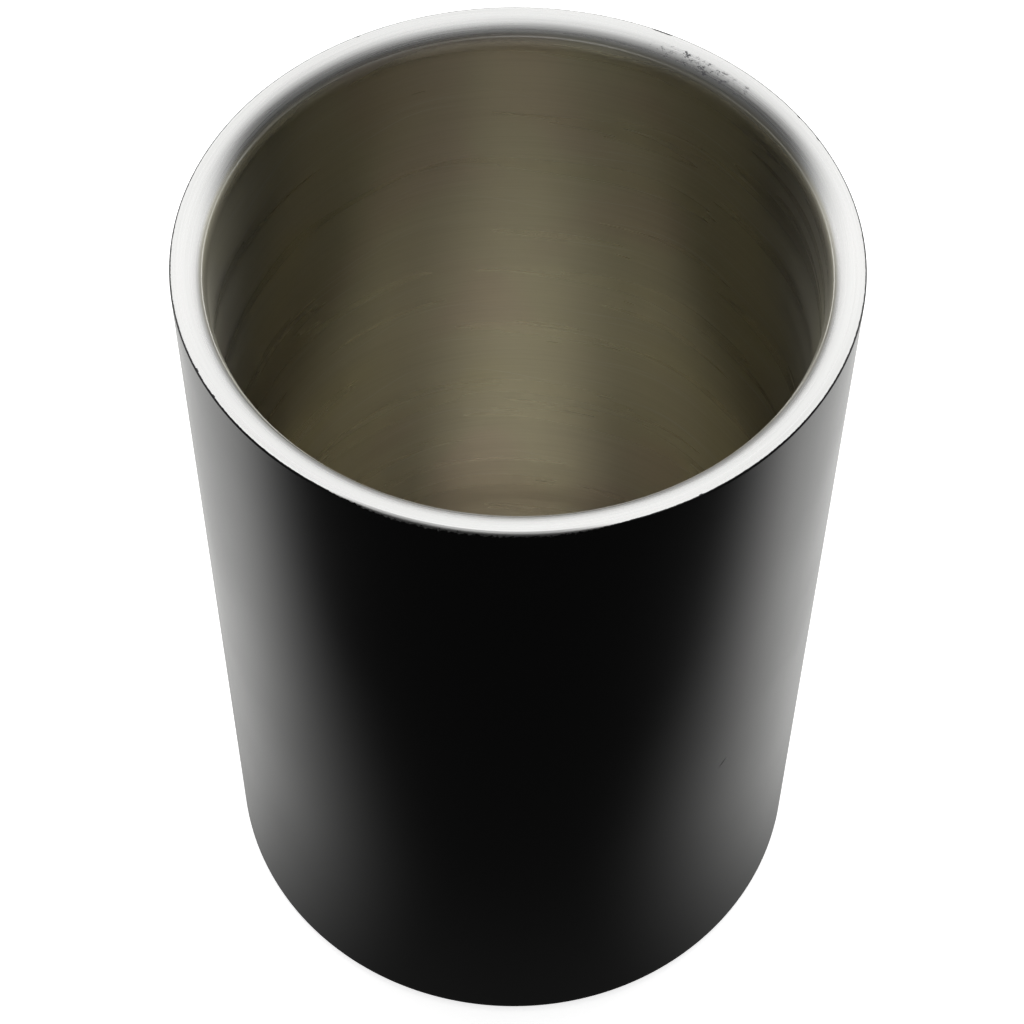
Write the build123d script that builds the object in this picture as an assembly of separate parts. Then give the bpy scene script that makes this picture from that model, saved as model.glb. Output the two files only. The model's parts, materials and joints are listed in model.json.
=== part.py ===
from build123d import *
import os

# Double-walled wine and champagne cooler: a straight table-top cylinder that takes one bottle.
# Two cups of thin stainless sheet stand one inside the other and are welded together at the
# mouth.  An end cap closes the outer one, and the space between the walls is pumped out
# through a hole in that cap, which glass then seals.  The origin is on the table, under the
# centre of the cooler, with +Z up along the axis of the walls.  Sizes are in millimetres.

# ---- overall sizes
overall_height = 175.0       # table to the top of the lip
body_diameter = 120.0        # outside of the outer shell
wall_gap = 5.0               # space between the two walls
base_corner_radius = 3.0     # outside radius where the wall turns in under the cooler

# ---- sheets
shell_sheet = 0.6
liner_sheet = 0.6
cap_sheet = 0.6
cover_sheet = 0.5
retainer_sheet = 0.3

# ---- mouth
lip_land = 0.4               # flat of the liner's lip beside the edge of the shell
lip_edge_radius = 0.35       # ground radius along the outside of the top edge

# ---- well
floor_height = 12.5          # table to the well's floor, beside its corner
well_corner_radius = 18.0    # inside radius between wall and floor
floor_band = 7.8             # flat of the floor between its corner and the raised middle
floor_slope_width = 6.0      # radial width of the slope up to the raised middle
floor_rise = 1.0             # height of the raised middle above the flat
floor_bend = 4.0             # bends of the slope, at the middle of the sheet

# ---- base: shell flange and end cap
foot_stand_off = 0.6         # the foot ring holds the steel this far off the table
flange_width = 3.5           # flat flange of the shell, inwards from its corner
corner_clearance = 0.3       # from the shell's corner to the edge of the end cap's brim
weld_margin = 0.2            # flat of the brim that shows inside the flange
seat_depth = 1.6             # the foot ring's seat rises this far above the brim
dish_depth = 1.9             # the dish rises this far above the foot ring's seat
cap_bend = 0.7               # bends of the end cap, at the middle of its sheet
bend_share = 0.48            # most of a step's height that one of its two bends may take
skirt_bend_share = 0.9       # most of the cover's skirt that its one bend may take

# ---- foot ring
foot_width = 5.5
foot_clearance = 0.1
foot_edge_radius = 0.4
foot_groove_count = 2        # grip grooves in the underside
foot_groove_width = 0.6
foot_groove_depth = 0.35
foot_land = 1.5              # step of bare cap between the foot ring and the dish

# ---- pump-out point
dimple_radius = 4.5
dimple_rise = 1.2
dimple_bend = 0.4
pump_hole_radius = 1.0
glass_margin = 0.8           # from the dimple's wall to the edge of the glass
glass_thickness = 0.8
glass_edge_radius = 0.5

# ---- base cover and its tape
cover_inset = 0.4            # the cover's face lies this far above the foot ring's seat
cover_clearance = 0.1
cover_top_gap = 0.3          # from the top of the cover's skirt to the roof of the dish
cover_bend = 0.6
cover_ring_radius = 18.0     # one stiffening ring, pressed upwards
cover_ring_width = 5.0
cover_ring_rise = 0.45
cover_ring_bend = 0.8
tape_outer_margin = 5.0      # from the dish's wall to the outside of the tape
tape_width = 9.0

# ---- getter
getter_offset = 20.0         # from the axis, along +X
getter_radius = 4.0
getter_height = 2.4
getter_edge_radius = 0.3
getter_clearance = 0.15
retainer_flange_width = 2.2
retainer_window_radius = 2.2
retainer_bend = 0.4

# ---- places that follow from the sizes above
body_radius = body_diameter / 2
shell_bore = body_radius - shell_sheet
well_radius = shell_bore - wall_gap - liner_sheet
flange_top = foot_stand_off + shell_sheet
seat_bend = min(cap_bend, bend_share * seat_depth)
dish_bend = min(cap_bend, bend_share * dish_depth)
flange_inner = body_radius - base_corner_radius - flange_width
brim_radius = body_radius - base_corner_radius - corner_clearance
seat_radius = flange_inner - weld_margin - seat_bend - cap_sheet / 2
foot_height = flange_top + seat_depth
foot_outer = seat_radius - foot_clearance
foot_inner = foot_outer - foot_width
dish_radius = foot_inner - foot_land
dish_roof = foot_height + dish_depth
dish_top = dish_roof + cap_sheet
dimple_roof = dish_roof + dimple_rise
cover_face = foot_height + cover_inset
cover_radius = dish_radius - cover_clearance
skirt_top = dish_roof - cover_top_gap
skirt_bend = min(cover_bend, skirt_bend_share * (skirt_top - cover_face - cover_sheet / 2))


def sheet_line(points, bends):
    """Middle line of a pressed sheet in the XZ plane, with one bend radius for each corner."""
    return FilletPolyline(*points, radius=bends)


def spun_sheet(points, bends, thickness):
    """A round piece of sheet metal: its middle line, given its thickness and spun about Z."""
    with BuildPart() as piece:
        with BuildSketch(Plane.XZ):
            with BuildLine():
                sheet_line(points, bends)
            trace(line_width=thickness)
        revolve(axis=Axis.Z)
    return piece.part


def round_ring(inner, outer, low, high):
    """A plain ring about Z."""
    height = high - low
    solid = Cylinder(outer, height) - Cylinder(inner, height)
    return Pos(0, 0, low + height / 2) * solid


def circles_at(shape, height):
    """The round edges of a shape that lie at one height, the smallest first."""
    found = [edge for edge in shape.edges().filter_by(GeomType.CIRCLE)
             if abs(edge.center().Z - height) < 1e-4]
    return ShapeList(sorted(found, key=lambda edge: edge.radius))


def make_outer_shell():
    """Straight wall, turned in below as a flat flange; its top edge is ground round."""
    wall = body_radius - shell_sheet / 2
    flange = foot_stand_off + shell_sheet / 2
    shell = spun_sheet(
        [(wall, overall_height), (wall, flange), (flange_inner, flange)],
        [base_corner_radius - shell_sheet / 2],
        shell_sheet,
    )
    return fillet(circles_at(shell, overall_height)[-1], lip_edge_radius)


def make_inner_liner():
    """Drawn well whose mouth flares out over the gap and butts against the shell's bore."""
    wall = well_radius + liner_sheet / 2
    floor = floor_height - liner_sheet / 2
    lip = overall_height - liner_sheet / 2
    slope_foot = well_radius - well_corner_radius - floor_band
    return spun_sheet(
        [
            (0, floor + floor_rise),
            (slope_foot - floor_slope_width, floor + floor_rise),
            (slope_foot, floor),
            (wall, floor),
            (wall, lip),
            (shell_bore, lip),
        ],
        [
            floor_bend,
            floor_bend,
            well_corner_radius + liner_sheet / 2,
            wall_gap + liner_sheet / 2 - lip_land,
        ],
        liner_sheet,
    )


def make_end_cap():
    """Pressed cap: a brim on the shell's flange, the foot ring's seat, the dish and the dimple."""
    half = cap_sheet / 2
    brim = flange_top + half
    seat = foot_height + half
    dish = dish_roof + half
    return spun_sheet(
        [
            (brim_radius, brim),
            (seat_radius + half, brim),
            (seat_radius + half, seat),
            (dish_radius + half, seat),
            (dish_radius + half, dish),
            (dimple_radius + half, dish),
            (dimple_radius + half, dish + dimple_rise),
            (pump_hole_radius, dish + dimple_rise),
        ],
        [seat_bend, seat_bend, dish_bend, dish_bend, dimple_bend, dimple_bend],
        cap_sheet,
    )


def make_foot_ring():
    """Soft ring glued into its seat, with rounded lower edges and grip grooves underneath."""
    foot = round_ring(foot_inner, foot_outer, 0, foot_height)
    foot = fillet(circles_at(foot, 0), foot_edge_radius)
    foot = fillet(circles_at(foot, foot_height)[-1], seat_bend)
    pitch = foot_width / (foot_groove_count + 1)
    for index in range(foot_groove_count):
        middle = foot_inner + pitch * (index + 1)
        foot -= round_ring(
            middle - foot_groove_width / 2,
            middle + foot_groove_width / 2,
            0,
            foot_groove_depth,
        )
    return foot


def make_sealing_glass():
    """Glass that has run over the pump-out hole from outside and into it."""
    outer = dimple_radius - glass_margin
    low = dimple_roof - glass_thickness
    disc = Pos(0, 0, dimple_roof - glass_thickness / 2) * Cylinder(outer, glass_thickness)
    disc = fillet(circles_at(disc, low), glass_edge_radius)
    plug = Pos(0, 0, dimple_roof + cap_sheet / 2) * Cylinder(pump_hole_radius, cap_sheet)
    return disc + plug


def make_base_cover():
    """Thin round cover in the dish, with an upturned skirt and one stiffening ring."""
    half = cover_sheet / 2
    face = cover_face + half
    ring = face + cover_ring_rise
    slope = cover_ring_width / 4
    low_inner = cover_ring_radius - cover_ring_width / 2
    low_outer = cover_ring_radius + cover_ring_width / 2
    return spun_sheet(
        [
            (0, face),
            (low_inner, face),
            (low_inner + slope, ring),
            (low_outer - slope, ring),
            (low_outer, face),
            (cover_radius - half, face),
            (cover_radius - half, skirt_top),
        ],
        [cover_ring_bend] * 4 + [skirt_bend],
        cover_sheet,
    )


def make_cover_tape():
    """Ring of foam tape between the dish and the cover."""
    outer = dish_radius - tape_outer_margin
    return round_ring(outer - tape_width, outer, cover_face + cover_sheet, dish_roof)


def make_getter_pellet():
    """Pressed gas-absorbing pellet, on the vacuum side of the end cap."""
    pellet = Cylinder(getter_radius, getter_height)
    pellet = fillet(pellet.edges().filter_by(GeomType.CIRCLE), getter_edge_radius)
    return Pos(getter_offset, 0, dish_top + getter_height / 2) * pellet


def make_getter_retainer():
    """Small cup with a window, welded to the dish by its flange; it holds the pellet down."""
    half = retainer_sheet / 2
    cup = getter_radius + getter_clearance + half
    top = dish_top + getter_height + half
    foot = dish_top + half
    retainer = spun_sheet(
        [
            (retainer_window_radius, top),
            (cup, top),
            (cup, foot),
            (cup + half + retainer_flange_width, foot),
        ],
        [retainer_bend, retainer_bend],
        retainer_sheet,
    )
    return Pos(getter_offset, 0, 0) * retainer


nodes = {
    "outer_shell": make_outer_shell,
    "inner_liner": make_inner_liner,
    "end_cap": make_end_cap,
    "foot_ring": make_foot_ring,
    "sealing_glass": make_sealing_glass,
    "base_cover": make_base_cover,
    "cover_tape": make_cover_tape,
    "getter_pellet": make_getter_pellet,
    "getter_retainer": make_getter_retainer,
}

os.makedirs("parts", exist_ok=True)
for node, make in nodes.items():
    shape = make()
    shape.label = node
    export_step(shape, f"parts/{node}.step")
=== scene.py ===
import json
import math

import bpy
from mathutils import Matrix, Vector


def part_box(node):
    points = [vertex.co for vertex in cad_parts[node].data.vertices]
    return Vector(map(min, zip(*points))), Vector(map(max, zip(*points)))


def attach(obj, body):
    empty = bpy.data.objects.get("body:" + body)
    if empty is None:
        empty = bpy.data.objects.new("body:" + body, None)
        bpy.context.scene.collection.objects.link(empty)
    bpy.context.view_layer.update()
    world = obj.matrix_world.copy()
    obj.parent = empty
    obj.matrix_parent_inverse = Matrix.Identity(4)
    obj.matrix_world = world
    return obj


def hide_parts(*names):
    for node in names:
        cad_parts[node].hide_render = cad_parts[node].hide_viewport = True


# Looks of a double-walled bottle cooler: satin black outside, a dressed steel lip, a brushed well,
# and under it a pressed cap, a silicone foot and a turned cover.
# Lengths are in metres, and angles in degrees unless a name says otherwise.

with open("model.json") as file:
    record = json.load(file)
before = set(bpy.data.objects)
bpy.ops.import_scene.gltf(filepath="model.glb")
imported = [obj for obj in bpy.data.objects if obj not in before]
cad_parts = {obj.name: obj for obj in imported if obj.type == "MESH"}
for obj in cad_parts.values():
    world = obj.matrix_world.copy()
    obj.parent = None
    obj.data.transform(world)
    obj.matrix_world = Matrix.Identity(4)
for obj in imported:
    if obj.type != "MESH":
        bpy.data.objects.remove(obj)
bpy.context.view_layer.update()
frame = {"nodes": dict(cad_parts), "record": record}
mounts = {mount["name"]: mount for mount in frame["record"]["mounts"]}

MM = 0.001

# ---------------------------------------------------------------- sizes read from the frame
shell_low, shell_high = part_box("outer_shell")
liner_low, liner_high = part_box("inner_liner")
cap_low, cap_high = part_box("end_cap")
cover_low, cover_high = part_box("base_cover")
foot_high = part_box("foot_ring")[1]
tape_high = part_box("cover_tape")[1]
glass_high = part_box("sealing_glass")[1]

body_radius = shell_high.x
top = shell_high.z
shell_bore = liner_high.x
shell_sheet = body_radius - shell_bore
well_radius = mounts["bottle_well"]["dims"]["r_mm"] * MM

# ---------------------------------------------------------------- sizes that the boxes don't give
LINER_SHEET = 0.6 * MM
CAP_SHEET = 0.6 * MM
COVER_SHEET = 0.5 * MM
BASE_CORNER = 3.0 * MM       # outside radius where the wall turns in under the cooler
FLANGE_WIDTH = 3.5 * MM
LIP_EDGE_RADIUS = 0.35 * MM
LIP_LAND = 0.4 * MM          # flat of the lip beside the shell's edge
WELL_CORNER = 18.0 * MM
FLOOR_BAND = 7.8 * MM        # flat of the floor between its corner and the raised middle
FLOOR_SLOPE = 6.0 * MM
FLOOR_RISE = 1.0 * MM
FLOOR_BEND = 4.0 * MM
CAP_BEND = 0.7 * MM
DIMPLE_RADIUS = 4.5 * MM
DIMPLE_BEND = 0.4 * MM
PUMP_HOLE = 1.0 * MM
FOOT_WIDTH = 5.5 * MM
FOOT_CLEARANCE = 0.1 * MM
FOOT_EDGE = 0.4 * MM
GROOVE_COUNT = 2
GROOVE_WIDTH = 0.6 * MM
GROOVE_DEPTH = 0.35 * MM
COVER_CLEARANCE = 0.1 * MM
COVER_BEND = 0.6 * MM
RING_RADIUS = 18.0 * MM      # stiffening ring of the cover
RING_WIDTH = 5.0 * MM
RING_RISE = 0.45 * MM
RING_BEND = 0.8 * MM

ROUND = 256                  # steps round the axis of the large pieces


# ================================================================ making pieces
def deselect_all():
    if bpy.context.mode != "OBJECT":
        bpy.ops.object.mode_set(mode="OBJECT")
    bpy.ops.object.select_all(action="DESELECT")


def select_ring(piece, radius, height, slack=0.02 * MM):
    """Selects, in edit mode, the edges of the ring that lies at one radius and height."""
    bpy.ops.object.mode_set(mode="OBJECT")
    mesh = piece.data
    near = [
        abs(math.hypot(v.co.x, v.co.y) - radius) < slack and abs(v.co.z - height) < slack
        for v in mesh.vertices
    ]
    mesh.polygons.foreach_set("select", [False] * len(mesh.polygons))
    mesh.vertices.foreach_set("select", near)
    mesh.edges.foreach_set("select", [near[e.vertices[0]] and near[e.vertices[1]] for e in mesh.edges])
    bpy.ops.object.mode_set(mode="EDIT")


def round_ring_edge(piece, corner, offset, steps):
    """Rounds one ring of edges, from an offset before it to the same offset after it."""
    select_ring(piece, *corner)
    bpy.ops.mesh.bevel(
        offset=offset, offset_type="OFFSET", segments=steps, profile=0.5, affect="EDGES"
    )


def extrude_rings(name, corners, around):
    """Starts with a circle at the first corner and extrudes it to each other corner, about Z.
    A corner on the axis closes the skin there.  The skin is left in edit mode."""
    deselect_all()
    radius, height = corners[0]
    bpy.ops.mesh.primitive_circle_add(
        vertices=around, radius=radius, fill_type="NOTHING", location=(0, 0, height)
    )
    piece = bpy.context.object
    piece.name = name
    bpy.ops.object.transform_apply(location=True)
    bpy.ops.object.mode_set(mode="EDIT")
    bpy.ops.mesh.select_mode(type="EDGE")
    bpy.ops.mesh.select_all(action="SELECT")
    for new_radius, new_height in corners[1:]:
        bpy.ops.mesh.extrude_region_move(
            TRANSFORM_OT_translate={"value": (0, 0, new_height - height)}
        )
        if new_radius > 0:
            share = new_radius / radius
            bpy.ops.transform.resize(value=(share, share, 1), center_override=(0, 0, new_height))
        else:
            bpy.ops.mesh.merge(type="CENTER")
        radius, height = new_radius, new_height
    return piece


def turn_between(before, corner, after):
    """The angle, in radians, through which a line turns at a corner."""
    arrive = Vector(corner) - Vector(before)
    leave = Vector(after) - Vector(corner)
    return arrive.angle(leave)


def spun_sheet(name, corners, bends, thickness, steps=12, around=ROUND):
    """Sheet metal spun about Z.  The corners lie along the middle of the sheet, each is rounded to
    its bend, and then the sheet is given its thickness."""
    piece = extrude_rings(name, corners, around)
    for before, corner, after, bend in zip(corners, corners[1:], corners[2:], bends):
        offset = bend * math.tan(turn_between(before, corner, after) / 2)
        round_ring_edge(piece, corner, offset, steps)
    bpy.ops.mesh.select_all(action="SELECT")
    bpy.ops.mesh.normals_make_consistent(inside=False)
    bpy.ops.object.mode_set(mode="OBJECT")
    sheet = piece.modifiers.new("sheet", "SOLIDIFY")
    sheet.thickness = thickness
    sheet.offset = 0
    sheet.use_even_offset = True
    bpy.ops.object.modifier_apply(modifier=sheet.name)
    return piece


def spun_ring(name, corners, rounds, steps=8, around=ROUND):
    """A solid ring spun about Z from a closed outline, with some of its square corners rounded."""
    piece = extrude_rings(name, corners + corners[:1], around)
    bpy.ops.mesh.select_all(action="SELECT")
    bpy.ops.mesh.remove_doubles(threshold=0.001 * MM)
    for corner, bend in rounds:
        round_ring_edge(piece, corner, bend, steps)
    return piece


def finish_piece(piece, node, finish, angle=30):
    """Smooths a piece, gives it its material and puts it in place of its CAD node."""
    deselect_all()
    piece.select_set(True)
    bpy.context.view_layer.objects.active = piece
    bpy.ops.object.mode_set(mode="EDIT")
    bpy.ops.mesh.select_all(action="SELECT")
    bpy.ops.mesh.normals_make_consistent(inside=False)
    bpy.ops.object.mode_set(mode="OBJECT")
    bpy.ops.object.shade_smooth_by_angle(angle=math.radians(angle))
    piece.data.materials.clear()
    piece.data.materials.append(finish)
    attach(piece, "root")
    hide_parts(node)
    deselect_all()
    return piece


# ================================================================ making materials
def new_finish(name):
    """A new material with its node tree and its shader."""
    finish = bpy.data.materials.new(name)
    finish.use_nodes = True
    return finish, finish.node_tree, finish.node_tree.nodes["Principled BSDF"]


def feed(tree, socket, source):
    """Gives a socket the output of another node, or a plain value."""
    if isinstance(source, bpy.types.NodeSocket):
        tree.links.new(source, socket)
    else:
        socket.default_value = source


def maths(tree, operation, first, second=0.0):
    node = tree.nodes.new("ShaderNodeMath")
    node.operation = operation
    feed(tree, node.inputs[0], first)
    feed(tree, node.inputs[1], second)
    return node.outputs[0]


def vector_maths(tree, operation, first, second=(0, 0, 0)):
    node = tree.nodes.new("ShaderNodeVectorMath")
    node.operation = operation
    feed(tree, node.inputs[0], first)
    feed(tree, node.inputs[1], second)
    return node.outputs["Value"] if operation in ("DOT_PRODUCT", "LENGTH") else node.outputs["Vector"]


def step_between(tree, value, start, end, low=0.0, high=1.0):
    """A value that goes smoothly from low to high while another goes from start to end."""
    node = tree.nodes.new("ShaderNodeMapRange")
    node.interpolation_type = "SMOOTHSTEP"
    feed(tree, node.inputs["Value"], value)
    feed(tree, node.inputs["From Min"], start)
    feed(tree, node.inputs["From Max"], end)
    feed(tree, node.inputs["To Min"], low)
    feed(tree, node.inputs["To Max"], high)
    return node.outputs["Result"]


def mottle(tree, place, scale, detail=2.0, roughness=0.5):
    """Noise between 0 and 1, mostly near a half."""
    node = tree.nodes.new("ShaderNodeTexNoise")
    feed(tree, node.inputs["Vector"], place)
    feed(tree, node.inputs["Scale"], scale)
    node.inputs["Detail"].default_value = detail
    node.inputs["Roughness"].default_value = roughness
    return node.outputs["Fac"]


def colour_mix(tree, share, first, second, kind="MIX"):
    node = tree.nodes.new("ShaderNodeMix")
    node.data_type = "RGBA"
    node.blend_type = kind
    feed(tree, node.inputs["Factor"], share)
    feed(tree, node.inputs[6], first)
    feed(tree, node.inputs[7], second)
    return node.outputs[2]


def relief(tree, shader, height, distance, strength):
    """Bumps on the surface, as high as the distance where the height is one."""
    node = tree.nodes.new("ShaderNodeBump")
    node.inputs["Distance"].default_value = distance
    node.inputs["Strength"].default_value = strength
    feed(tree, node.inputs["Height"], height)
    tree.links.new(node.outputs["Normal"], shader.inputs["Normal"])


def brushed_round(tree, shader, amount):
    """Gloss stretched across lines that run round the axis."""
    node = tree.nodes.new("ShaderNodeTangent")
    node.direction_type = "RADIAL"
    node.axis = "Z"
    tree.links.new(node.outputs["Tangent"], shader.inputs["Tangent"])
    shader.inputs["Anisotropic"].default_value = amount
    shader.inputs["Anisotropic Rotation"].default_value = 0.25


def object_place(tree):
    return tree.nodes.new("ShaderNodeTexCoord").outputs["Object"]


def new_group(name, inputs, outputs):
    """A shader node group with named inputs and outputs."""
    group = bpy.data.node_groups.new(name, "ShaderNodeTree")
    for socket, kind, value in inputs:
        made = group.interface.new_socket(name=socket, in_out="INPUT", socket_type=kind)
        if kind == "NodeSocketFloat":
            made.default_value = value
    for socket, kind in outputs:
        group.interface.new_socket(name=socket, in_out="OUTPUT", socket_type=kind)
    enter = group.nodes.new("NodeGroupInput")
    leave = group.nodes.new("NodeGroupOutput")
    return group, enter.outputs, leave.inputs


def put_group(tree, group, **values):
    """Places a group in a tree and feeds its inputs, named with spaces for underscores."""
    node = tree.nodes.new("ShaderNodeGroup")
    node.node_tree = group
    for socket, value in values.items():
        feed(tree, node.inputs[socket.replace("_", " ")], value)
    return node.outputs


FLOAT = "NodeSocketFloat"
VECTOR = "NodeSocketVector"


def make_round_place():
    """Where a point lies on a turned piece: its radius, its height, and which way from the axis."""
    group, given, out = new_group(
        "round_place",
        [("Place", VECTOR, None)],
        [("Radius", FLOAT), ("Height", FLOAT), ("Along", FLOAT), ("Around", VECTOR)],
    )
    flat = vector_maths(group, "MULTIPLY", given["Place"], (1, 1, 0))
    radius = vector_maths(group, "LENGTH", flat)
    split = group.nodes.new("ShaderNodeSeparateXYZ")
    feed(group, split.inputs[0], given["Place"])
    feed(group, out["Radius"], radius)
    feed(group, out["Height"], split.outputs["Z"])
    feed(group, out["Along"], maths(group, "ADD", radius, split.outputs["Z"]))
    feed(group, out["Around"], vector_maths(group, "NORMALIZE", flat))
    return group


def make_turned_lines():
    """Fine lines that run round the axis, as a lathe or a belt leaves them."""
    group, given, out = new_group(
        "turned_lines",
        [("Place", VECTOR, None), ("Lines", FLOAT, 1000.0), ("Arcs", FLOAT, 3.0), ("Lean", FLOAT, 0.0)],
        [("Value", FLOAT)],
    )
    where = put_group(group, round_place, Place=given["Place"])
    lean = maths(group, "MULTIPLY", mottle(group, where["Around"], 1.3, 0.0), given["Lean"])
    line = maths(group, "MULTIPLY", maths(group, "ADD", where["Along"], lean), given["Lines"])
    upright = group.nodes.new("ShaderNodeCombineXYZ")
    feed(group, upright.inputs["Z"], line)
    arcs = vector_maths(group, "SCALE", where["Around"])
    feed(group, arcs.node.inputs["Scale"], given["Arcs"])
    feed(group, out["Value"], mottle(group, vector_maths(group, "ADD", arcs, upright.outputs[0]), 1.0))
    return group


def make_sector():
    """One inside a sector of the piece as seen from its axis, and nothing outside it."""
    group, given, out = new_group(
        "sector",
        [("Place", VECTOR, None), ("Toward", VECTOR, None), ("Edge", FLOAT, 0.9), ("Core", FLOAT, 0.95)],
        [("Mask", FLOAT)],
    )
    where = put_group(group, round_place, Place=given["Place"])
    facing = vector_maths(group, "DOT_PRODUCT", where["Around"], given["Toward"])
    feed(group, out["Mask"], step_between(group, facing, given["Edge"], given["Core"]))
    return group


def make_short_mark():
    """One on a short straight mark about a centre.  The two directions are one over its half sizes."""
    group, given, out = new_group(
        "short_mark",
        [
            ("Place", VECTOR, None),
            ("Centre", VECTOR, None),
            ("Lengthwise", VECTOR, None),
            ("Crosswise", VECTOR, None),
        ],
        [("Mask", FLOAT)],
    )
    away = vector_maths(group, "SUBTRACT", given["Place"], given["Centre"])
    along = vector_maths(group, "DOT_PRODUCT", away, given["Lengthwise"])
    across = vector_maths(group, "DOT_PRODUCT", away, given["Crosswise"])
    squares = maths(group, "ADD", maths(group, "POWER", along, 2.0), maths(group, "POWER", across, 2.0))
    feed(group, out["Mask"], step_between(group, squares, 1.0, 0.3))
    return group


def make_specks():
    """Small specks in loose clusters.  Cluster and speck sizes are in lots per metre."""
    group, given, out = new_group(
        "specks",
        [
            ("Place", VECTOR, None),
            ("Clusters", FLOAT, 300.0),
            ("Specks", FLOAT, 2500.0),
            ("Amount", FLOAT, 0.5),
        ],
        [("Mask", FLOAT)],
    )
    clusters = mottle(group, given["Place"], given["Clusters"], 1.0)
    clusters = maths(group, "MULTIPLY", clusters, 0.6)
    specks = mottle(group, given["Place"], given["Specks"], 1.0)
    specks = maths(group, "MULTIPLY", specks, 0.6)
    both = maths(group, "ADD", clusters, specks)
    least = maths(group, "SUBTRACT", 0.84, maths(group, "MULTIPLY", given["Amount"], 0.185))
    most = maths(group, "ADD", least, 0.05)
    feed(group, out["Mask"], step_between(group, both, least, most))
    return group


round_place = make_round_place()
turned_lines = make_turned_lines()
sector = make_sector()
short_mark = make_short_mark()
specks = make_specks()


def toward(angle):
    """Unit vector away from the axis, at an angle in degrees from +X towards +Y."""
    return (math.cos(math.radians(angle)), math.sin(math.radians(angle)), 0)


def on_wall(angle, height):
    """The point of the outer wall at an angle in degrees and a height."""
    return tuple(body_radius * part for part in toward(angle)[:2]) + (height,)


def over(vector, length):
    """A direction divided by a half size, as a short mark takes it."""
    return tuple(component / length for component in vector)


# Colours, linear.  Where there are two of a kind, the surface varies between them.
COAT_BLACK = (0.0028, 0.0031, 0.0038, 1)
COAT_BLACK_THIN = (0.0042, 0.0043, 0.0047, 1)
DRESSED_STEEL = (0.553, 0.553, 0.545, 1)
DRESSED_STEEL_DULL = (0.506, 0.506, 0.498, 1)
WELL_STEEL = (0.628, 0.603, 0.504, 1)
WELL_STEEL_DULL = (0.588, 0.564, 0.470, 1)
HEAT_PURPLE = (1.0, 0.955, 0.99, 1)
HEAT_STRAW = (1.0, 1.0, 0.955, 1)
# paler steel of the stray scratches, and the colour of the painted highlight line
SCRATCH_AND_PAINTED_HIGHLIGHT = (0.695, 0.695, 0.679, 1)
PIT_DARK = (0.10, 0.10, 0.11, 1)
NO_TINT = (1, 1, 1, 1)
CAP_STEEL = (0.58, 0.58, 0.57, 1)
CAP_STEEL_DULL = (0.47, 0.465, 0.45, 1)
WELD_STRAW = (0.52, 0.42, 0.24, 1)
WELD_BLUE = (0.25, 0.27, 0.38, 1)
COVER_STEEL = (0.66, 0.66, 0.65, 1)
COVER_STEEL_DULL = (0.50, 0.50, 0.49, 1)
SILICONE_BLACK = (0.014, 0.014, 0.015, 1)
SILICONE_DUST = (0.06, 0.058, 0.055, 1)
FOAM_SKIN = (0.78, 0.77, 0.73, 1)
# painted shade in the foam's cell hollows
FOAM_HOLLOW_PAINTED_SHADE = (0.56, 0.55, 0.51, 1)
GLASS_DEEP = (0.035, 0.05, 0.045, 1)
GLASS_THIN = (0.10, 0.12, 0.105, 1)
GLASS_BUBBLE = (0.22, 0.24, 0.22, 1)
GETTER_DARK = (0.10, 0.10, 0.105, 1)
GETTER_PALE = (0.24, 0.24, 0.235, 1)
CUP_STEEL = (0.60, 0.60, 0.59, 1)
CUP_STEEL_DULL = (0.44, 0.44, 0.43, 1)

COAT_OVERLAP = 0.3 * MM      # how far the coat reaches over the rounded edge
COAT_SOFT = 0.04 * MM        # half width of the coat's edge, where it thins out
COAT_WOBBLE = 0.3 * MM       # how far the coat's end strays, and how much further where ragged
RAGGED_WOBBLE = 3.0 * MM
RAGGED_DROP = 0.85 * MM      # where it is ragged, the coat also ends this much lower
DRESSED_DEPTH = 1.9 * MM     # the lip is dressed this far below the top
DRESSED_FADE_DOWN = 0.7 * MM
DRESSED_FADE_UP = 0.5 * MM
LINE_DROP = 0.5 * MM         # the painted highlight line lies this far below the end of the dressing
LINE_EDGE = 0.18 * MM        # distances from the line at which it starts and is full
LINE_CORE = 0.04 * MM

# Marks, as angles from +X towards +Y.  A nick has its angle, its half length and its depth.
PITTED_AT = 53
PITS_FROM = 5.1 * MM         # the pitted band, as distances in from the outside
PITS_TO = 2.0 * MM
PITS_FADE = 0.6 * MM
RAGGED_AT = -97
NICKS_AT = (
    (-147, 0.5 * MM, 0.14 * MM),
    (27, 0.5 * MM, 0.14 * MM),
    (64, 2.3 * MM, 0.22 * MM),
    (-60, 0.4 * MM, 0.14 * MM),
)
NICK_HEIGHT = 0.6 * MM
SCUFF_AT = -48
SCUFF_HEIGHT = 78.5 * MM
SCUFF_LENGTH = 1.5 * MM      # half its length and half its width
SCUFF_WIDTH = 0.35 * MM
SCUFF_SIDEWAYS = 0.68        # its slant
SCUFF_UPWARDS = 0.73


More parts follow.
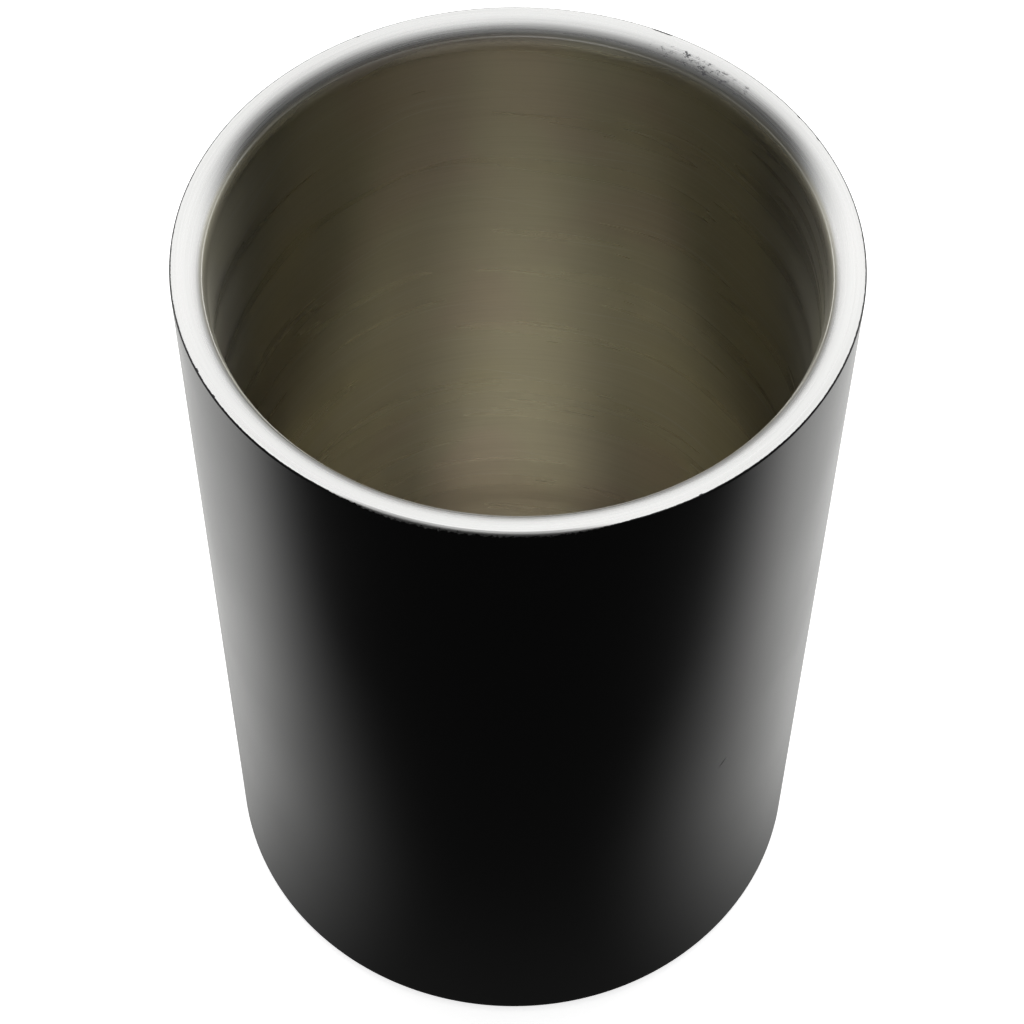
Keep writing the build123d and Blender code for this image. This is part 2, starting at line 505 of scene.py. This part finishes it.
# ---------------------------------------------------------------- satin black coat, bare along the top
def make_coated_steel():
    finish, tree, shader = new_finish("satin_black_coat")
    place = object_place(tree)
    where = put_group(tree, round_place, Place=place)
    # The coat stops on the rounded edge: this distance runs over it from the dressed top downwards.
    drop = maths(tree, "SUBTRACT", top, where["Height"])
    over_edge = maths(tree, "ADD", where["Radius"], drop)
    coat_end = body_radius - COAT_OVERLAP
    ragged = put_group(tree, sector, Place=place, Toward=toward(RAGGED_AT), Edge=0.90, Core=0.985)["Mask"]
    wobble = maths(tree, "SUBTRACT", mottle(tree, place, 1500.0, 4.0, 0.75), 0.5)
    reach = maths(tree, "ADD", COAT_WOBBLE, maths(tree, "MULTIPLY", ragged, RAGGED_WOBBLE))
    end = maths(tree, "ADD", coat_end, maths(tree, "MULTIPLY", wobble, reach))
    end = maths(tree, "ADD", end, maths(tree, "MULTIPLY", ragged, RAGGED_DROP))
    for angle, length, depth in NICKS_AT:
        nick = put_group(
            tree, short_mark, Place=place, Centre=on_wall(angle, top),
            Lengthwise=over(toward(angle + 90), length), Crosswise=over((0, 0, 1), NICK_HEIGHT),
        )["Mask"]
        end = maths(tree, "SUBTRACT", end, maths(tree, "MULTIPLY", nick, depth))
    before = maths(tree, "SUBTRACT", end, COAT_SOFT)
    after = maths(tree, "ADD", end, COAT_SOFT)
    coated = step_between(tree, over_edge, before, after)
    bare = maths(tree, "SUBTRACT", 1.0, coated)

    clouds = mottle(tree, place, 22.0, 3.0)
    grain = mottle(tree, place, 2600.0, 2.0, 0.6)
    sideways = Vector(toward(SCUFF_AT + 90))
    upwards = Vector((0, 0, 1))
    slant = sideways * SCUFF_SIDEWAYS + upwards * SCUFF_UPWARDS
    square = sideways * SCUFF_UPWARDS - upwards * SCUFF_SIDEWAYS
    scuff = put_group(
        tree, short_mark, Place=place, Centre=on_wall(SCUFF_AT, SCUFF_HEIGHT),
        Lengthwise=over(slant, SCUFF_LENGTH), Crosswise=over(square, SCUFF_WIDTH),
    )["Mask"]
    coat = colour_mix(tree, clouds, COAT_BLACK, COAT_BLACK_THIN)
    lines = put_group(tree, turned_lines, Place=place, Lines=3000.0, Arcs=3.0)["Value"]
    steel = colour_mix(tree, lines, DRESSED_STEEL_DULL, DRESSED_STEEL)
    feed(tree, shader.inputs["Base Color"], colour_mix(tree, bare, coat, steel))
    feed(tree, shader.inputs["Metallic"], bare)
    satin = step_between(tree, clouds, 0.3, 0.7, 0.20, 0.24)
    satin = maths(tree, "ADD", satin, maths(tree, "MULTIPLY", grain, 0.03))
    satin = maths(tree, "ADD", satin, maths(tree, "MULTIPLY", scuff, 0.22))
    ground = step_between(tree, lines, 0.35, 0.65, 0.26, 0.34)
    ground = maths(tree, "ADD", ground, maths(tree, "MULTIPLY", ragged, 0.45))
    satin = maths(tree, "MULTIPLY", satin, coated)
    ground = maths(tree, "MULTIPLY", ground, bare)
    feed(tree, shader.inputs["Roughness"], maths(tree, "ADD", satin, ground))
    height = maths(tree, "MULTIPLY", grain, 0.25)
    height = maths(tree, "ADD", height, maths(tree, "MULTIPLY", coated, 2.0))
    height = maths(tree, "SUBTRACT", height, maths(tree, "MULTIPLY", scuff, 0.7))
    relief(tree, shader, height, 0.012 * MM, 0.5)
    return finish


# ---------------------------------------------------------------- brushed well and dressed lip
def make_brushed_steel():
    finish, tree, shader = new_finish("brushed_well_steel")
    place = object_place(tree)
    where = put_group(tree, round_place, Place=place)
    fine = put_group(tree, turned_lines, Place=place, Lines=4200.0, Arcs=1.6)["Value"]
    middling = put_group(tree, turned_lines, Place=place, Lines=1500.0, Arcs=1.0, Lean=0.002)["Value"]
    broad = put_group(tree, turned_lines, Place=place, Lines=190.0, Arcs=0.7, Lean=0.01)["Value"]
    stray = put_group(tree, turned_lines, Place=place, Lines=2600.0, Arcs=0.9, Lean=0.03)["Value"]
    scratches = step_between(tree, stray, 0.62, 0.74)
    # The lip is dressed after welding, a little way down its curve.
    dressed_end = top - DRESSED_DEPTH
    lip = step_between(tree, where["Height"], dressed_end - DRESSED_FADE_DOWN, dressed_end + DRESSED_FADE_UP)
    wall = maths(tree, "SUBTRACT", 1.0, lip)

    tone = maths(tree, "MULTIPLY", maths(tree, "ADD", fine, middling), 0.35)
    tone = maths(tree, "ADD", tone, maths(tree, "MULTIPLY", broad, 0.3))
    tone = step_between(tree, tone, 0.36, 0.62)
    well_colour = colour_mix(tree, tone, WELL_STEEL_DULL, WELL_STEEL)
    lip_colour = colour_mix(tree, tone, DRESSED_STEEL_DULL, DRESSED_STEEL)
    blush = mottle(tree, place, 30.0, 1.0)
    purple = step_between(tree, blush, 0.56, 0.68)
    straw = step_between(tree, blush, 0.44, 0.34)
    tint = colour_mix(tree, purple, NO_TINT, HEAT_PURPLE)
    tint = colour_mix(tree, straw, tint, HEAT_STRAW)
    well_colour = colour_mix(tree, 1.0, well_colour, tint, "MULTIPLY")
    well_colour = colour_mix(tree, maths(tree, "MULTIPLY", scratches, 0.6), well_colour, SCRATCH_AND_PAINTED_HIGHLIGHT)
    colour = colour_mix(tree, lip, well_colour, lip_colour)

    near_pits = put_group(tree, sector, Place=place, Toward=toward(PITTED_AT), Edge=0.968, Core=0.992)
    inner_edge = body_radius - PITS_FROM
    outer_edge = body_radius - PITS_TO
    out_in = step_between(tree, where["Radius"], inner_edge, inner_edge + PITS_FADE)
    in_out = step_between(tree, where["Radius"], outer_edge, outer_edge - PITS_FADE)
    amount = maths(tree, "MULTIPLY", near_pits["Mask"], maths(tree, "MULTIPLY", out_in, in_out))
    pits = put_group(tree, specks, Place=place, Clusters=900.0, Specks=5200.0, Amount=amount)["Mask"]
    pits = maths(tree, "MULTIPLY", maths(tree, "MULTIPLY", pits, amount), 0.9)
    # A faint painted highlight line where the dressing ends: a ridge's gleam painted into the colour, with
    # rougher steel along it.
    from_line = maths(tree, "SUBTRACT", where["Height"], dressed_end - LINE_DROP)
    from_line = maths(tree, "ABSOLUTE", from_line)
    ridge_painted_highlight = step_between(tree, from_line, LINE_EDGE, LINE_CORE)
    ridge_painted_highlight = maths(tree, "MULTIPLY", ridge_painted_highlight, step_between(tree, broad, 0.38, 0.58, 0.35, 1.0))
    colour = colour_mix(tree, maths(tree, "MULTIPLY", ridge_painted_highlight, 0.7), colour, SCRATCH_AND_PAINTED_HIGHLIGHT)
    feed(tree, shader.inputs["Base Color"], colour_mix(tree, pits, colour, PIT_DARK))
    shader.inputs["Metallic"].default_value = 1.0

    rough_wall = step_between(tree, broad, 0.35, 0.65, 0.27, 0.31)
    rough_lip = step_between(tree, middling, 0.35, 0.65, 0.25, 0.31)
    rough = maths(tree, "MULTIPLY", rough_wall, wall)
    rough = maths(tree, "ADD", rough, maths(tree, "MULTIPLY", rough_lip, lip))
    rough = maths(tree, "ADD", rough, maths(tree, "MULTIPLY", pits, 0.3))
    rough = maths(tree, "ADD", rough, maths(tree, "MULTIPLY", ridge_painted_highlight, 0.3))
    feed(tree, shader.inputs["Roughness"], rough)

    height = maths(tree, "ADD", maths(tree, "MULTIPLY", fine, 0.5), middling)
    height = maths(tree, "MULTIPLY", height, step_between(tree, lip, 0.0, 1.0, 1.0, 4.5))
    height = maths(tree, "SUBTRACT", height, maths(tree, "MULTIPLY", pits, 4.0))
    relief(tree, shader, height, 0.006 * MM, 0.4)
    brushed_round(tree, shader, 0.9)
    return finish


# ---------------------------------------------------------------- finishes under the cooler
def make_pressed_steel():
    finish, tree, shader = new_finish("pressed_cap_steel")
    place = object_place(tree)
    where = put_group(tree, round_place, Place=place)
    lines = put_group(tree, turned_lines, Place=place, Lines=1400.0, Arcs=9.0, Lean=0.01)["Value"]
    clouds = mottle(tree, place, 120.0, 3.0)
    steel = colour_mix(tree, clouds, CAP_STEEL_DULL, CAP_STEEL)
    # The weld round the flange leaves a narrow straw and blue band.
    straw = step_between(tree, where["Radius"], foot_high.x - 1.5 * MM, foot_high.x + 0.6 * MM)
    blue = step_between(tree, where["Radius"], foot_high.x + 0.2 * MM, foot_high.x + 1.2 * MM)
    steel = colour_mix(tree, maths(tree, "MULTIPLY", straw, 0.6), steel, WELD_STRAW)
    steel = colour_mix(tree, maths(tree, "MULTIPLY", blue, 0.6), steel, WELD_BLUE)
    feed(tree, shader.inputs["Base Color"], steel)
    shader.inputs["Metallic"].default_value = 1.0
    feed(tree, shader.inputs["Roughness"], step_between(tree, clouds, 0.3, 0.7, 0.32, 0.46))
    relief(tree, shader, maths(tree, "ADD", lines, clouds), 0.015 * MM, 0.4)
    return finish


def make_cover_steel():
    finish, tree, shader = new_finish("turned_cover_steel")
    place = object_place(tree)
    fine = put_group(tree, turned_lines, Place=place, Lines=3600.0, Arcs=5.0)["Value"]
    broad = put_group(tree, turned_lines, Place=place, Lines=420.0, Arcs=1.5)["Value"]
    stray = put_group(tree, turned_lines, Place=place, Lines=900.0, Arcs=1.0, Lean=0.03)["Value"]
    scratches = step_between(tree, stray, 0.66, 0.72)
    feed(tree, shader.inputs["Base Color"], colour_mix(tree, fine, COVER_STEEL_DULL, COVER_STEEL))
    shader.inputs["Metallic"].default_value = 1.0
    rough = step_between(tree, broad, 0.35, 0.65, 0.24, 0.33)
    rough = maths(tree, "ADD", rough, maths(tree, "MULTIPLY", scratches, 0.15))
    feed(tree, shader.inputs["Roughness"], rough)
    relief(tree, shader, maths(tree, "ADD", fine, maths(tree, "MULTIPLY", broad, 0.6)), 0.012 * MM, 0.5)
    brushed_round(tree, shader, 0.55)
    return finish


def make_silicone():
    finish, tree, shader = new_finish("black_silicone")
    place = object_place(tree)
    dust = mottle(tree, place, 1100.0, 4.0, 0.7)
    clouds = mottle(tree, place, 160.0, 2.0)
    dusty = step_between(tree, dust, 0.55, 0.72)
    dusty = maths(tree, "MULTIPLY", dusty, step_between(tree, clouds, 0.4, 0.65))
    feed(tree, shader.inputs["Base Color"], colour_mix(tree, dusty, SILICONE_BLACK, SILICONE_DUST))
    feed(tree, shader.inputs["Roughness"], step_between(tree, clouds, 0.3, 0.7, 0.5, 0.66))
    relief(tree, shader, dust, 0.02 * MM, 0.35)
    shader.inputs["Specular IOR Level"].default_value = 0.4
    return finish


def make_foam():
    finish, tree, shader = new_finish("off_white_foam_tape")
    place = object_place(tree)
    cells = tree.nodes.new("ShaderNodeTexVoronoi")
    feed(tree, cells.inputs["Vector"], place)
    cells.inputs["Scale"].default_value = 3800.0
    hollow = step_between(tree, cells.outputs["Distance"], 0.1, 0.6)
    clouds = mottle(tree, place, 900.0)
    # painted shade: the colour darkens into each cell hollow, where the bump sinks
    feed(tree, shader.inputs["Base Color"], colour_mix(tree, hollow, FOAM_HOLLOW_PAINTED_SHADE, FOAM_SKIN))
    feed(tree, shader.inputs["Roughness"], step_between(tree, clouds, 0.3, 0.7, 0.85, 0.97))
    relief(tree, shader, hollow, 0.08 * MM, 0.6)
    return finish


def make_seal_glass():
    finish, tree, shader = new_finish("seal_glass")
    place = object_place(tree)
    flow = mottle(tree, place, 700.0, 2.0)
    bubbles = tree.nodes.new("ShaderNodeTexVoronoi")
    feed(tree, bubbles.inputs["Vector"], place)
    bubbles.inputs["Scale"].default_value = 1600.0
    bubble = step_between(tree, bubbles.outputs["Distance"], 0.22, 0.12)
    glass = colour_mix(tree, flow, GLASS_DEEP, GLASS_THIN)
    feed(tree, shader.inputs["Base Color"], colour_mix(tree, bubble, glass, GLASS_BUBBLE))
    feed(tree, shader.inputs["Roughness"], step_between(tree, flow, 0.3, 0.7, 0.08, 0.2))
    relief(tree, shader, maths(tree, "ADD", flow, bubble), 0.03 * MM, 0.4)
    return finish


def make_getter_pressing():
    finish, tree, shader = new_finish("getter_pressed_powder")
    place = object_place(tree)
    grain = mottle(tree, place, 4200.0, 3.0, 0.7)
    clouds = mottle(tree, place, 500.0, 2.0)
    feed(tree, shader.inputs["Base Color"], colour_mix(tree, grain, GETTER_DARK, GETTER_PALE))
    shader.inputs["Metallic"].default_value = 0.6
    feed(tree, shader.inputs["Roughness"], step_between(tree, clouds, 0.3, 0.7, 0.62, 0.8))
    relief(tree, shader, grain, 0.04 * MM, 0.6)
    return finish


def make_getter_cup():
    finish, tree, shader = new_finish("getter_cup_steel")
    place = object_place(tree)
    clouds = mottle(tree, place, 600.0, 3.0)
    grain = mottle(tree, place, 5200.0, 2.0)
    feed(tree, shader.inputs["Base Color"], colour_mix(tree, clouds, CUP_STEEL_DULL, CUP_STEEL))
    shader.inputs["Metallic"].default_value = 1.0
    feed(tree, shader.inputs["Roughness"], step_between(tree, clouds, 0.3, 0.7, 0.28, 0.42))
    relief(tree, shader, grain, 0.01 * MM, 0.4)
    return finish


# ================================================================ pieces
# ---------------------------------------------------------------- outer shell
shell_wall = body_radius - shell_sheet / 2
flange_middle = shell_low.z + shell_sheet / 2
flange_inner = body_radius - BASE_CORNER - FLANGE_WIDTH
shell = spun_sheet(
    "shell_body",
    [(shell_wall, top), (shell_wall, flange_middle), (flange_inner, flange_middle)],
    [BASE_CORNER - shell_sheet / 2],
    shell_sheet,
)
round_ring_edge(shell, (body_radius, top), LIP_EDGE_RADIUS, 8)
finish_piece(shell, "outer_shell", make_coated_steel())

# ---------------------------------------------------------------- inner liner
liner_wall = well_radius + LINER_SHEET / 2
lip_middle = top - LINER_SHEET / 2
floor_middle = liner_low.z + LINER_SHEET / 2
slope_foot = well_radius - WELL_CORNER - FLOOR_BAND
liner = spun_sheet(
    "well_liner",
    [
        (shell_bore, lip_middle),
        (liner_wall, lip_middle),
        (liner_wall, floor_middle),
        (slope_foot, floor_middle),
        (slope_foot - FLOOR_SLOPE, floor_middle + FLOOR_RISE),
        (0, floor_middle + FLOOR_RISE),
    ],
    [
        shell_bore - LIP_LAND - liner_wall,
        WELL_CORNER + LINER_SHEET / 2,
        FLOOR_BEND,
        FLOOR_BEND,
    ],
    LINER_SHEET,
    steps=24,
)
finish_piece(liner, "inner_liner", make_brushed_steel())

# ---------------------------------------------------------------- end cap
half_cap = CAP_SHEET / 2
brim = cap_low.z + half_cap
seat = foot_high.z + half_cap
seat_wall = foot_high.x + FOOT_CLEARANCE + half_cap
dish = tape_high.z + half_cap
dish_wall = cover_high.x + COVER_CLEARANCE + half_cap
dimple = glass_high.z - half_cap
cap = spun_sheet(
    "base_cap",
    [
        (cap_high.x, brim),
        (seat_wall, brim),
        (seat_wall, seat),
        (dish_wall, seat),
        (dish_wall, dish),
        (DIMPLE_RADIUS + half_cap, dish),
        (DIMPLE_RADIUS + half_cap, dimple),
        (PUMP_HOLE, dimple),
    ],
    [CAP_BEND, CAP_BEND, CAP_BEND, CAP_BEND, DIMPLE_BEND, DIMPLE_BEND],
    CAP_SHEET,
    steps=6,
)
finish_piece(cap, "end_cap", make_pressed_steel())

# ---------------------------------------------------------------- foot ring
foot_outer = foot_high.x
foot_inner = foot_outer - FOOT_WIDTH
foot_outline = [(foot_inner, 0)]
for index in range(GROOVE_COUNT):
    groove = foot_inner + FOOT_WIDTH / (GROOVE_COUNT + 1) * (index + 1)
    foot_outline += [
        (groove - GROOVE_WIDTH / 2, 0),
        (groove - GROOVE_WIDTH / 2, GROOVE_DEPTH),
        (groove + GROOVE_WIDTH / 2, GROOVE_DEPTH),
        (groove + GROOVE_WIDTH / 2, 0),
    ]
foot_outline += [(foot_outer, 0), (foot_outer, foot_high.z), (foot_inner, foot_high.z)]
foot = spun_ring(
    "foot_tread",
    foot_outline,
    [((foot_inner, 0), FOOT_EDGE), ((foot_outer, 0), FOOT_EDGE), ((foot_outer, foot_high.z), CAP_BEND)],
)
finish_piece(foot, "foot_ring", make_silicone())

# ---------------------------------------------------------------- base cover
half_cover = COVER_SHEET / 2
cover_edge = cover_high.x - half_cover
face = cover_low.z + half_cover
ring_slope = RING_WIDTH / 4
cover = spun_sheet(
    "base_disc",
    [
        (cover_edge, cover_high.z),
        (cover_edge, face),
        (RING_RADIUS + RING_WIDTH / 2, face),
        (RING_RADIUS + RING_WIDTH / 2 - ring_slope, face + RING_RISE),
        (RING_RADIUS - RING_WIDTH / 2 + ring_slope, face + RING_RISE),
        (RING_RADIUS - RING_WIDTH / 2, face),
        (0, face),
    ],
    [COVER_BEND, RING_BEND, RING_BEND, RING_BEND, RING_BEND],
    COVER_SHEET,
    steps=6,
)
finish_piece(cover, "base_cover", make_cover_steel())

# ---------------------------------------------------------------- nodes that keep their own shape
kept_nodes = (
    ("cover_tape", make_foam()),
    ("sealing_glass", make_seal_glass()),
    ("getter_pellet", make_getter_pressing()),
    ("getter_retainer", make_getter_cup()),
)
for node, finish in kept_nodes:
    for slot in frame["nodes"][node].material_slots:
        slot.material = finish


# ================================================================ studio
FLOOR_SIZE = 4.0
FLOOR_WHITE = (0.92, 0.92, 0.92, 1)
FLOOR_WHITE_DULL = (0.88, 0.88, 0.88, 1)
FLOOR_GLOW = 0.8             # the white table is lit from below as well
BOARD_SIZE = 3.0
BOARD_LIGHT = 1.25           # brightness of the table in the object's reflections, far from it
BOARD_DARK = 0.03
FRONT_DARK = -102 * MM       # from here forward the table is dark
FRONT_BRIGHT = 12 * MM
CONTACT_DEPTH = 0.55         # how much darker the table is against the foot of the wall
CONTACT_FADE = 35 * MM
SHADOW_CORE = 22 * MM        # half width of the shadow that the cooler casts forward
SHADOW_EDGE = 85 * MM
SHADOW_LEAST = 0.1
SHADOW_START = 30 * MM       # the shadow begins over this distance forward of the axis
BOARD_TINT = (1.0, 1.0, 0.985, 1)


def studio_plane(name, size, finish):
    deselect_all()
    bpy.ops.mesh.primitive_plane_add(size=size, location=(0, 0, 0))
    sheet = bpy.context.object
    sheet.name = name
    sheet.data.materials.append(finish)
    return sheet


def make_pale_floor():
    finish, tree, shader = new_finish("pale_floor")
    faint = mottle(tree, object_place(tree), 6.0, 2.0)
    feed(tree, shader.inputs["Base Color"], colour_mix(tree, faint, FLOOR_WHITE_DULL, FLOOR_WHITE))
    shader.inputs["Roughness"].default_value = 0.7
    shader.inputs["Emission Color"].default_value = (1, 1, 1, 1)
    shader.inputs["Emission Strength"].default_value = FLOOR_GLOW
    return finish


def make_board():
    """The table as the object's sides mirror it: bright behind, dark in front, shaded at the foot."""
    finish, tree, shader = new_finish("table_light")
    place = object_place(tree)
    split = tree.nodes.new("ShaderNodeSeparateXYZ")
    feed(tree, split.inputs[0], place)
    away = maths(tree, "SUBTRACT", vector_maths(tree, "LENGTH", place), body_radius)
    fade = maths(tree, "EXPONENT", maths(tree, "DIVIDE", away, -CONTACT_FADE))
    contact = maths(tree, "SUBTRACT", 1.0, maths(tree, "MULTIPLY", fade, CONTACT_DEPTH))
    front = step_between(tree, split.outputs["Y"], FRONT_DARK, FRONT_BRIGHT)
    aside = maths(tree, "ABSOLUTE", split.outputs["X"])
    shadow = step_between(tree, aside, SHADOW_CORE, SHADOW_EDGE, SHADOW_LEAST, 1.0)
    ahead = step_between(tree, split.outputs["Y"], 0.0, -SHADOW_START)
    shade = maths(tree, "MULTIPLY", maths(tree, "SUBTRACT", 1.0, shadow), ahead)
    shadow = maths(tree, "SUBTRACT", 1.0, shade)
    light = maths(tree, "MULTIPLY", maths(tree, "MULTIPLY", contact, front), shadow)
    light = maths(tree, "ADD", maths(tree, "MULTIPLY", light, BOARD_LIGHT), BOARD_DARK)
    shader.inputs["Base Color"].default_value = (0, 0, 0, 1)
    shader.inputs["Specular IOR Level"].default_value = 0.0
    shader.inputs["Roughness"].default_value = 1.0
    shader.inputs["Emission Color"].default_value = BOARD_TINT
    feed(tree, shader.inputs["Emission Strength"], light)
    return finish


floor = studio_plane("studio_floor", FLOOR_SIZE, make_pale_floor())
floor.visible_glossy = False
floor.visible_diffuse = False
floor.visible_shadow = False
board = studio_plane("table_board", BOARD_SIZE, make_board())
board.visible_camera = False
board.visible_diffuse = False
board.visible_shadow = False

# A large soft box hangs overhead and a little behind, and a lit backdrop stands behind the table.
SOFT_BOX = Vector((0, 0.407, 0.914))
SOFT_BOX_EDGE = 0.48         # cosines of the angles from its centre at which it starts and is full
SOFT_BOX_CORE = 0.94
SOFT_BOX_SIDE = 0.75         # sines of the angles sideways at which it ends and is still full
SOFT_BOX_MIDDLE = 0.15
SOFT_BOX_LIGHT = 1.65
BACKDROP_EDGE = 0.15         # how far behind, of one, the backdrop starts and is full
BACKDROP_CORE = 0.6
BACKDROP_FOOT = 0.9          # how bright the backdrop is at table height, against its top
BACKDROP_LOW = -0.1          # heights, of one, between which it brightens
BACKDROP_TOP = 0.75
ROOM_LIGHT = 0.07
BELOW_FLOOR = 0.03
HORIZON = 0.03               # half height of the soft step between the two


def make_studio_light():
    world = bpy.data.worlds.new("studio_light")
    world.use_nodes = True
    tree = world.node_tree
    background = tree.nodes["Background"]
    heading = tree.nodes.new("ShaderNodeTexCoord").outputs["Generated"]
    split = tree.nodes.new("ShaderNodeSeparateXYZ")
    feed(tree, split.inputs[0], heading)
    facing = vector_maths(tree, "DOT_PRODUCT", heading, SOFT_BOX)
    overhead = step_between(tree, facing, SOFT_BOX_EDGE, SOFT_BOX_CORE)
    aside = maths(tree, "ABSOLUTE", split.outputs["X"])
    narrow = step_between(tree, aside, SOFT_BOX_SIDE, SOFT_BOX_MIDDLE)
    overhead = maths(tree, "MULTIPLY", overhead, narrow)
    behind = step_between(tree, split.outputs["Y"], BACKDROP_EDGE, BACKDROP_CORE)
    lift = step_between(tree, split.outputs["Z"], BACKDROP_LOW, BACKDROP_TOP, BACKDROP_FOOT, 1.0)
    behind = maths(tree, "MULTIPLY", behind, lift)
    light = maths(tree, "MULTIPLY", maths(tree, "MAXIMUM", overhead, behind), SOFT_BOX_LIGHT)
    light = maths(tree, "ADD", light, ROOM_LIGHT)
    above = step_between(tree, split.outputs["Z"], -HORIZON, HORIZON, BELOW_FLOOR, 1.0)
    background.inputs["Color"].default_value = (1, 1, 1, 1)
    light = maths(tree, "MULTIPLY", light, above)
    # The camera sees the backdrop as pale as the table, wherever it looks from.
    seen = tree.nodes.new("ShaderNodeLightPath").outputs["Is Camera Ray"]
    feed(tree, background.inputs["Strength"], maths(tree, "MAXIMUM", light, seen))
    bpy.context.scene.world = world


make_studio_light()

# ================================================================ camera
CAMERA_LENS = 94.74
CAMERA_DISTANCE = 526.6 * MM
CAMERA_ELEVATION = 54.188
CAMERA_ROLL = 0.595
CAMERA_SHIFT = -0.00337
LOOK_HEIGHT = 98.04 * MM


def place_camera():
    elevation = math.radians(CAMERA_ELEVATION)
    camera_data = bpy.data.cameras.new("camera")
    camera_data.lens = CAMERA_LENS
    camera_data.shift_x = CAMERA_SHIFT
    camera = bpy.data.objects.new("camera", camera_data)
    bpy.context.scene.collection.objects.link(camera)
    back = -CAMERA_DISTANCE * math.cos(elevation)
    up = LOOK_HEIGHT + CAMERA_DISTANCE * math.sin(elevation)
    camera.matrix_world = (
        Matrix.Translation((0, back, up))
        @ Matrix.Rotation(math.pi / 2 - elevation, 4, "X")
        @ Matrix.Rotation(math.radians(CAMERA_ROLL), 4, "Z")
    )
    bpy.context.scene.camera = camera


place_camera()
bpy.context.scene.view_settings.view_transform = "Standard"
